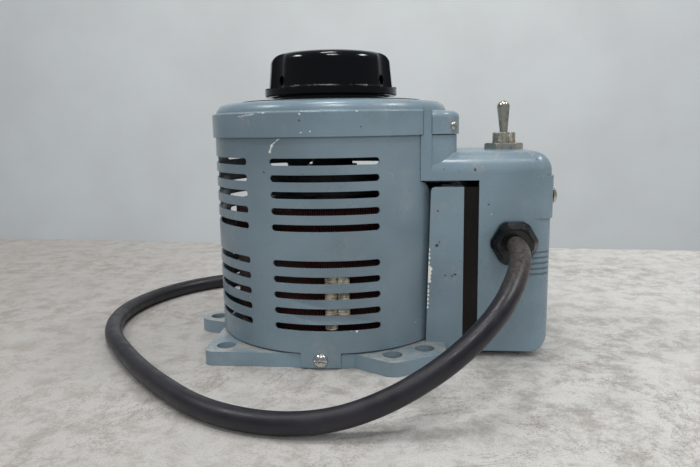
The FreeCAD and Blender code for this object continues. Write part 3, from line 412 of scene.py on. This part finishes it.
def copper_winding(name):
    """Turns of varnished wire side by side round the ring-shaped coil, with painted shade in the grooves
    between the turns.
    """
    m = Maker(name)
    x, y, _ = m.axes()
    angle = m.math("ARCTAN2", y, x)
    wave = m.math("SINE", m.math("MULTIPLY", angle, WIRE_TURNS))
    wire = m.ramp(wave, -1.0, 0.8)
    tone = m.ramp(m.noise(45, 4), 0.35, 0.7)
    lit = m.mix(tone, VARNISH_RED, VARNISH_DARK)
    # Painted shade: the grooves between the turns are coloured near-black.
    m.color(m.mix(wire, WIRE_GAP_PAINTED_SHADE, lit))
    m.rough(m.ramp(m.noise(80, 3), 0.3, 0.8, 0.26, 0.45))
    m.bump(wave, 0.6, 0.5 * MM)
    m.constant(metallic=0.25)
    return m.material


def laminate(name, color, rough):
    """Pressed board with faint layers."""
    m = Maker(name)
    layers = m.noise(90, 5, 0.6, m.scaled((14, 1, 1)))
    m.color(m.mix(m.ramp(layers, 0.35, 0.75, 0.0, 0.6), color, tuple(2.4 * c for c in color)))
    m.rough(m.ramp(m.noise(140, 4), 0.3, 0.8, rough, rough + 0.2))
    m.bump(layers, 0.15, RELIEF)
    m.constant(specular=0.25)
    return m.material


def woven_sleeve(name):
    """Cream woven sleeving, stained brown in patches."""
    m = Maker(name)
    weave = m.math("SINE", m.math("MULTIPLY", m.axes()[2], WEAVE_RADIANS_PER_METRE))
    stain = m.ramp(m.noise(160, 5, 0.7, distortion=0.5), 0.42, 0.62)
    m.color(m.mix(stain, SLEEVE_CREAM, SLEEVE_STAIN))
    m.bump(m.math("ADD", weave, m.math("MULTIPLY", m.noise(700, 4, 0.7), 2.5)), 0.5, 0.4 * MM)
    m.constant(roughness=0.6)
    return m.material


# ---------------------------------------------------------------- chips and scuffs
def streak(start, end, radius, count):
    """Places in a row between two points, all of one radius in millimetres, for one long chip."""
    a, b = Vector(start), Vector(end)
    return [(tuple(a.lerp(b, k / (count - 1))), radius) for k in range(count)]


BARE_ON_COVER = streak((-21.5, -57.1, 101.3), (-20.4, -57.5, 104.3), 0.45, 5)
BARE_ON_COVER += streak((-20.2, -57.6, 104.6), (-16.8, -58.6, 107.0), 0.35, 7)
BARE_ON_COVER += [((17.0, -58.6, 18.6), 0.7), ((14.6, -59.2, 19.0), 0.5)]
DARK_ON_COVER = [((-24.9, -55.7, 92.4), 0.7), ((11.0, -60.0, 90.0), 0.5), ((19.0, -58.0, 88.5), 0.6)]
BARE_ON_BASE = streak((50.5, -39.5, 53.4), (50.2, -39.5, 45.0), 0.9, 5)
BARE_ON_BASE += streak((50.9, -39.5, 43.8), (50.6, -39.5, 38.0), 1.3, 4)
BARE_ON_BASE += streak((50.1, -39.5, 35.0), (49.8, -39.5, 24.6), 0.9, 6)
DARK_ON_BASE = [((54.8, -39.5, 72.2), 0.6), ((54.4, -39.5, 55.4), 0.8), ((55.6, -39.5, 57.0), 0.4),
                ((58.4, -39.5, 40.6), 0.6), ((61.7, -39.5, 40.2), 0.5), ((63.2, -39.5, 41.2), 0.6)]
SCUFFS_ON_BASE = [((56.0, -39.5, 72.0), 7.0), ((56.0, -39.5, 55.0), 6.0), ((62.0, -39.5, 41.0), 6.0),
                  ((33.4, -57.8, 7.0), 16.0), ((48.5, -48.5, 7.0), 15.0), ((-48.5, -48.5, 7.0), 17.0),
                  ((-66.7, 0.0, 7.0), 15.0), ((-48.5, 48.5, 7.0), 17.0), ((33.4, 57.8, 7.0), 14.0)]
DARK_ON_LID = [((26.2, -49.8, 123.1), 0.8), ((28.3, -48.6, 123.0), 0.6), ((35.2, -43.8, 122.6), 0.9),
               ((-6.7, -61.8, 115.2), 0.5), ((31.0, -46.5, 123.2), 0.4), ((20.0, -58.9, 112.0), 0.4)]
BARE_ON_LID = streak((-37.6, -49.6, 117.4), (-29.0, -55.1, 118.4), 0.35, 12)
BARE_ON_LID += [((-6.7, -61.8, 118.2), 0.5), ((-6.1, -61.9, 109.9), 0.5), ((18.5, -59.4, 118.9), 0.5),
                ((-2.0, -62.2, 110.4), 0.4), ((-24.0, -57.4, 119.0), 0.4)]
SCUFFS_ON_LID = [((-33.0, -52.6, 118.0), 7.0), ((26.0, -56.0, 119.0), 9.0), ((60.0, -36.0, 113.0), 6.0)]
SCUFFS_ON_BOX = [((70.5, -38.0, 98.0), 6.5), ((73.0, -39.0, 93.0), 5.5), ((82.0, -34.0, 99.3), 8.0),
                 ((96.5, -34.0, 99.0), 7.0), ((60.0, -33.0, 99.5), 6.0), ((106.0, -38.0, 92.0), 6.0),
                 ((108.0, 30.0, 97.0), 8.0), ((104.0, 39.0, 20.0), 8.0)]
DARK_ON_BOX = [((70.4, -39.0, 95.0), 0.6), ((72.0, -39.3, 91.4), 0.7), ((78.6, -39.5, 75.0), 0.4),
               ((84.5, -36.4, 99.0), 0.5), ((98.0, -38.6, 95.6), 0.5), ((108.8, 12.0, 72.0), 0.6)]

MATERIALS = {
    "enamel_cover": enamel("enamel_cover", SHEET_ENAMEL, BARE_ON_COVER, DARK_ON_COVER),
    "enamel_lid": enamel("enamel_lid", CAST_ENAMEL_PAINTED_LIGHT, BARE_ON_LID, DARK_ON_LID, SCUFFS_ON_LID),
    "enamel_base": enamel("enamel_base", CAST_ENAMEL_PAINTED_LIGHT, BARE_ON_BASE, DARK_ON_BASE, SCUFFS_ON_BASE, 0.8),
    "enamel_box": enamel("enamel_box", CAST_ENAMEL_PAINTED_LIGHT, (), DARK_ON_BOX, SCUFFS_ON_BOX),
    "bakelite": gloss_black("bakelite"),
    "black_plastic": moulded("black_plastic"),
    "gland_black": moulded("gland_black", (0.003, 0.003, 0.0035), 0.12),
    "cord_rubber": rubber("cord_rubber"),
    "phenolic": laminate("phenolic", PHENOLIC, 0.4),
    "fibre": laminate("fibre", (0.09, 0.055, 0.03), 0.6),
    "nickel": plated("nickel", (0.62, 0.58, 0.49), 0.26, 0.7),
    # Painted shade: dark copies of cast metal and steel, so that the rotor, shaft and clamp inside the casing
    # look shaded.
    "cast_painted_shade": plated("cast_painted_shade", (0.06, 0.06, 0.065), 0.5, 0.6),
    "steel_painted_shade": plated("steel_painted_shade", (0.1, 0.1, 0.1), 0.4, 0.6),
    "bright_nickel": plated("bright_nickel", (0.72, 0.71, 0.68), 0.18, 0.35),
    "brass": plated("brass", (0.55, 0.38, 0.15), 0.32, 0.6),
    "steel": satin_metal("steel", (0.42, 0.41, 0.4), 0.3),
    "aluminium": satin_metal("aluminium", (0.7, 0.7, 0.71), 0.34),
    "copper": copper_winding("copper"),
    "core_steel": satin_metal("core_steel", (0.2, 0.2, 0.21), 0.45),
    "sleeve": woven_sleeve("sleeve"),
    "carbon": moulded("carbon", (0.02, 0.02, 0.022), 0.5),
    "wire_pvc": moulded("wire_pvc", (0.02, 0.02, 0.024), 0.45),
    # Painted shade: the dial plate is made near-black so that the gap under the knob's flange stays dark.
    "dial_black": moulded("dial_black", (0.005, 0.005, 0.0055), 0.4),
    "dial_ink": moulded("dial_ink", (0.62, 0.6, 0.54), 0.5),
    "index_paint": woven_sleeve("index_paint"),
}
SPECIAL = {
    "perforated_cover": "enamel_cover",
    "lid": "enamel_lid",
    "base_casting": "enamel_base",
    "terminal_housing": "enamel_box",
    "strain_relief": "gland_black",
    "cover_screws": "bright_nickel",
    # Painted shade: the parts inside the casing get the darkened metals in place of their own.
    "brush_rotor": "cast_painted_shade",
    "shaft": "steel_painted_shade",
    "clamp_plate": "steel_painted_shade",
    "clamp_screws": "steel_painted_shade",
}


def dress_nodes():
    """Each node gets the material of its slot, or its own where SPECIAL names one."""
    slots = {s["node"]: s["material_slot"] for s in frame["record"]["subparts"]}
    for name, obj in NODES.items():
        material = MATERIALS[SPECIAL.get(name, slots[name])]
        obj.data.materials.clear()
        obj.data.materials.append(material)
        for polygon in obj.data.polygons:
            polygon.material_index = 0
    cord_piece.data.materials.append(MATERIALS["cord_rubber"])


dress_nodes()


# ---------------------------------------------------------------- dial and index
DIAL_TOP = 125.4
TRAVEL = 318.0
ZERO_AZ = 99.0
FULL_SCALE = 140
TICK_STEP = 2
LONG_TICK_STEP = 10
NUMBER_STEP = 20
TICK_OUTER = 45.8
SHORT_TICK_INNER = 43.8
LONG_TICK_INNER = 42.6
SHORT_TICK_WIDTH = 0.25
LONG_TICK_WIDTH = 0.45
NUMBER_RADIUS = 39.2
NUMBER_HEIGHT = 4.6
INK_DEPTH = 0.02
INK_STANDS = 0.03
INDEX_INNER = 32.9
INDEX_OUTER = 34.65
INDEX_WIDTH = 0.9
INDEX_BOTTOM = 131.0
INDEX_TOP = 132.24


def dial_azimuth(value):
    """Where a value stands on the dial, in degrees from +X. The scale runs clockwise, seen from above."""
    return ZERO_AZ - TRAVEL * value / FULL_SCALE


def add_bar(bm, azimuth, r0, r1, width, z0, z1):
    """Radial bar, as a closed block."""
    turn = Matrix.Rotation(math.radians(azimuth), 4, "Z")
    middle = Matrix.Translation(v((r0 + r1) / 2, 0, (z0 + z1) / 2))
    size = Matrix.Diagonal(v(r1 - r0, width, z1 - z0)).to_4x4()
    block = bmesh.ops.create_cube(bm, size=1.0)["verts"]
    bmesh.ops.transform(bm, matrix=turn @ middle @ size, verts=block)


def add_number(bm, value, radius, height):
    """One plain number, read from outside the dial."""
    data = bpy.data.curves.new("number", "FONT")
    data.body = str(value)
    data.size = height * MM
    data.align_x = data.align_y = "CENTER"
    data.extrude = INK_DEPTH * MM
    text = bpy.data.objects.new("number", data)
    bpy.context.scene.collection.objects.link(text)
    bpy.context.view_layer.update()
    mesh = bpy.data.meshes.new_from_object(text.evaluated_get(bpy.context.evaluated_depsgraph_get()))
    azimuth = math.radians(dial_azimuth(value))
    place = v(radius * math.cos(azimuth), radius * math.sin(azimuth), DIAL_TOP + INK_DEPTH)
    upright = Matrix.Rotation(azimuth + math.pi / 2, 4, "Z")
    mesh.transform(Matrix.Translation(place) @ upright)
    bm.from_mesh(mesh)
    bpy.data.objects.remove(text)
    bpy.data.curves.remove(data)
    bpy.data.meshes.remove(mesh)


def new_piece(name, bm, body, material):
    """A piece of the visual model from the finished mesh data."""
    mesh = bpy.data.meshes.new(name)
    bm.to_mesh(mesh)
    bm.free()
    piece = bpy.data.objects.new(name, mesh)
    bpy.context.scene.collection.objects.link(piece)
    mesh.materials.append(material)
    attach(piece, body)
    return piece


def make_dial_marks():
    """Ticks and plain numbers printed on the dial plate."""
    bm = bmesh.new()
    bottom = DIAL_TOP - INK_DEPTH
    top = DIAL_TOP + INK_STANDS
    for value in range(0, FULL_SCALE + 1, TICK_STEP):
        inner, width = SHORT_TICK_INNER, SHORT_TICK_WIDTH
        if value % LONG_TICK_STEP == 0:
            inner, width = LONG_TICK_INNER, LONG_TICK_WIDTH
        add_bar(bm, dial_azimuth(value), inner, TICK_OUTER, width, bottom, top)
    for value in range(0, FULL_SCALE + 1, NUMBER_STEP):
        add_number(bm, value, NUMBER_RADIUS, NUMBER_HEIGHT)
    new_piece("dial_marks", bm, "stand", MATERIALS["dial_ink"])


def make_index():
    """Cream line across the rim of the knob's flange, which points at zero when the knob is at rest."""
    bm = bmesh.new()
    add_bar(bm, ZERO_AZ, INDEX_INNER, INDEX_OUTER, INDEX_WIDTH, INDEX_BOTTOM, INDEX_TOP)
    new_piece("knob_index", bm, "rotor", MATERIALS["index_paint"])


make_dial_marks()
make_index()


# ---------------------------------------------------------------- stage
TABLE_CORNERS = [(-1.6, -1.6, 0), (1.3, -1.6, 0), (1.3, 0.143, 0), (-1.6, 0.401, 0)]
# Painted light and shade: the table's colour runs from darker on the left to lighter on the right, as the
# light falls.
TABLE_LEFT_PAINTED_SHADE = (0.33, 0.31, 0.29)
TABLE_RIGHT_PAINTED_LIGHT = (0.53, 0.52, 0.495)
TABLE_STAIN = (0.17, 0.145, 0.12)
TABLE_CRACK = (0.12, 0.095, 0.08)
WALL_CORNERS = [(-4, 1.4, -1.5), (4, 1.4, -1.5), (4, 1.4, 3), (-4, 1.4, 3)]
WALL_LIGHT = (0.73, 0.75, 0.745)
WALL_DARK = (0.675, 0.69, 0.685)


def flat_panel(name, corners, material):
    """One flat face with four corners, in metres."""
    mesh = bpy.data.meshes.new(name)
    mesh.from_pydata(corners, [], [(0, 1, 2, 3)])
    panel = bpy.data.objects.new(name, mesh)
    bpy.context.scene.collection.objects.link(panel)
    mesh.materials.append(material)
    return panel


def table_paint():
    """Pale painted table top with dirt, grain, fine cracks and specks, and painted shade that makes it darker
    to the left and lighter to the right.
    """
    m = Maker("table_paint")
    # Painted shade: a gradient along X darkens the left side of the table.
    across = m.ramp(m.axes()[0], -0.35, 0.3)
    paint = m.mix(across, TABLE_LEFT_PAINTED_SHADE, TABLE_RIGHT_PAINTED_LIGHT)
    dirt = m.ramp(m.noise(70, 12, 0.82, distortion=0.3), 0.44, 0.6, 0.0, 0.55)
    patchy = m.ramp(m.noise(11, 5, 0.6), 0.32, 0.6, 0.45, 1.0)
    base = m.mix(m.math("MULTIPLY", dirt, patchy), paint, TABLE_STAIN)
    grain = m.ramp(m.noise(1300, 4, 0.75), 0.5, 0.66, 0.0, 0.5)
    base = m.mix(grain, base, TABLE_STAIN)
    off_middle = m.math("ABSOLUTE", m.math("SUBTRACT", m.noise(9, 9, 0.72, distortion=0.5), 0.5))
    crack_lines = m.ramp(off_middle, 0.0, 0.006, 0.6, 0.0)
    cracked = m.ramp(m.noise(5, 3), 0.42, 0.6)
    base = m.mix(m.math("MULTIPLY", crack_lines, cracked), base, TABLE_CRACK)
    specks = m.ramp(m.noise(560, 4, 0.7), 0.64, 0.7, 0.0, 0.8)
    m.color(m.mix(specks, base, TABLE_CRACK))
    m.rough(m.ramp(m.noise(60, 4), 0.3, 0.8, 0.45, 0.65))
    m.bump(m.noise(240, 6, 0.7), 0.12, 0.5 * MM)
    return m.material


def wall_paint():
    m = Maker("wall_paint")
    m.color(m.mix(m.ramp(m.noise(4, 4), 0.3, 0.7), WALL_LIGHT, WALL_DARK))
    m.constant(roughness=0.7)
    return m.material


def make_stage():
    table = flat_panel("table", TABLE_CORNERS, table_paint())
    wall = flat_panel("wall", WALL_CORNERS, wall_paint())


# ---------------------------------------------------------------- light
SKY = (0.86, 0.93, 1.0, 1)
SKY_STRENGTH = 0.24
WHITE = (1, 1, 1)
COOL_WHITE = (0.95, 0.98, 1.0)
LIGHTS_AIM = (0, 0, 0.08)
LAMP_SIZE = (0.36, 0.2)
LAMP_POWER = 6
LAMPS = {
    "lamp_left": (-1.02, -0.12, 1.38),
    "lamp_front": (0.14, -0.69, 1.59),
    "lamp_right": (1.02, 0.12, 1.38),
}


def area_light(name, place, size, power, in_gloss=True, color=WHITE):
    """A rectangular light in metres and watts, aimed at the middle of the case."""
    light = bpy.data.lights.new(name, "AREA")
    light.shape = "RECTANGLE"
    light.size, light.size_y = size
    light.energy = power
    light.color = color
    obj = bpy.data.objects.new(name, light)
    bpy.context.scene.collection.objects.link(obj)
    obj.location = place
    obj.rotation_mode = "QUATERNION"
    obj.rotation_quaternion = (Vector(LIGHTS_AIM) - Vector(place)).to_track_quat("-Z", "Y")
    obj.visible_glossy = in_gloss


def make_light():
    """Broad soft lights that stay out of reflections, and small lamps that show in the gloss."""
    world = bpy.data.worlds.new("studio")
    world.use_nodes = True
    background = world.node_tree.nodes["Background"]
    background.inputs["Color"].default_value = SKY
    background.inputs["Strength"].default_value = SKY_STRENGTH
    bpy.context.scene.world = world
    area_light("ceiling", (0.2, 0.05, 1.5), (2.2, 1.4), 9, False)
    area_light("front", (-0.15, -1.7, 0.8), (1.6, 1.0), 14, False, COOL_WHITE)
    area_light("right", (1.4, -0.7, 0.9), (0.8, 0.6), 6, False)
    for name, place in LAMPS.items():
        area_light(name, place, LAMP_SIZE, LAMP_POWER)
    area_light("lamp_above", (-0.08, 0.1, 1.7), (0.4, 0.16), 5)


make_stage()
make_light()
bpy.context.scene.view_settings.view_transform = "Standard"
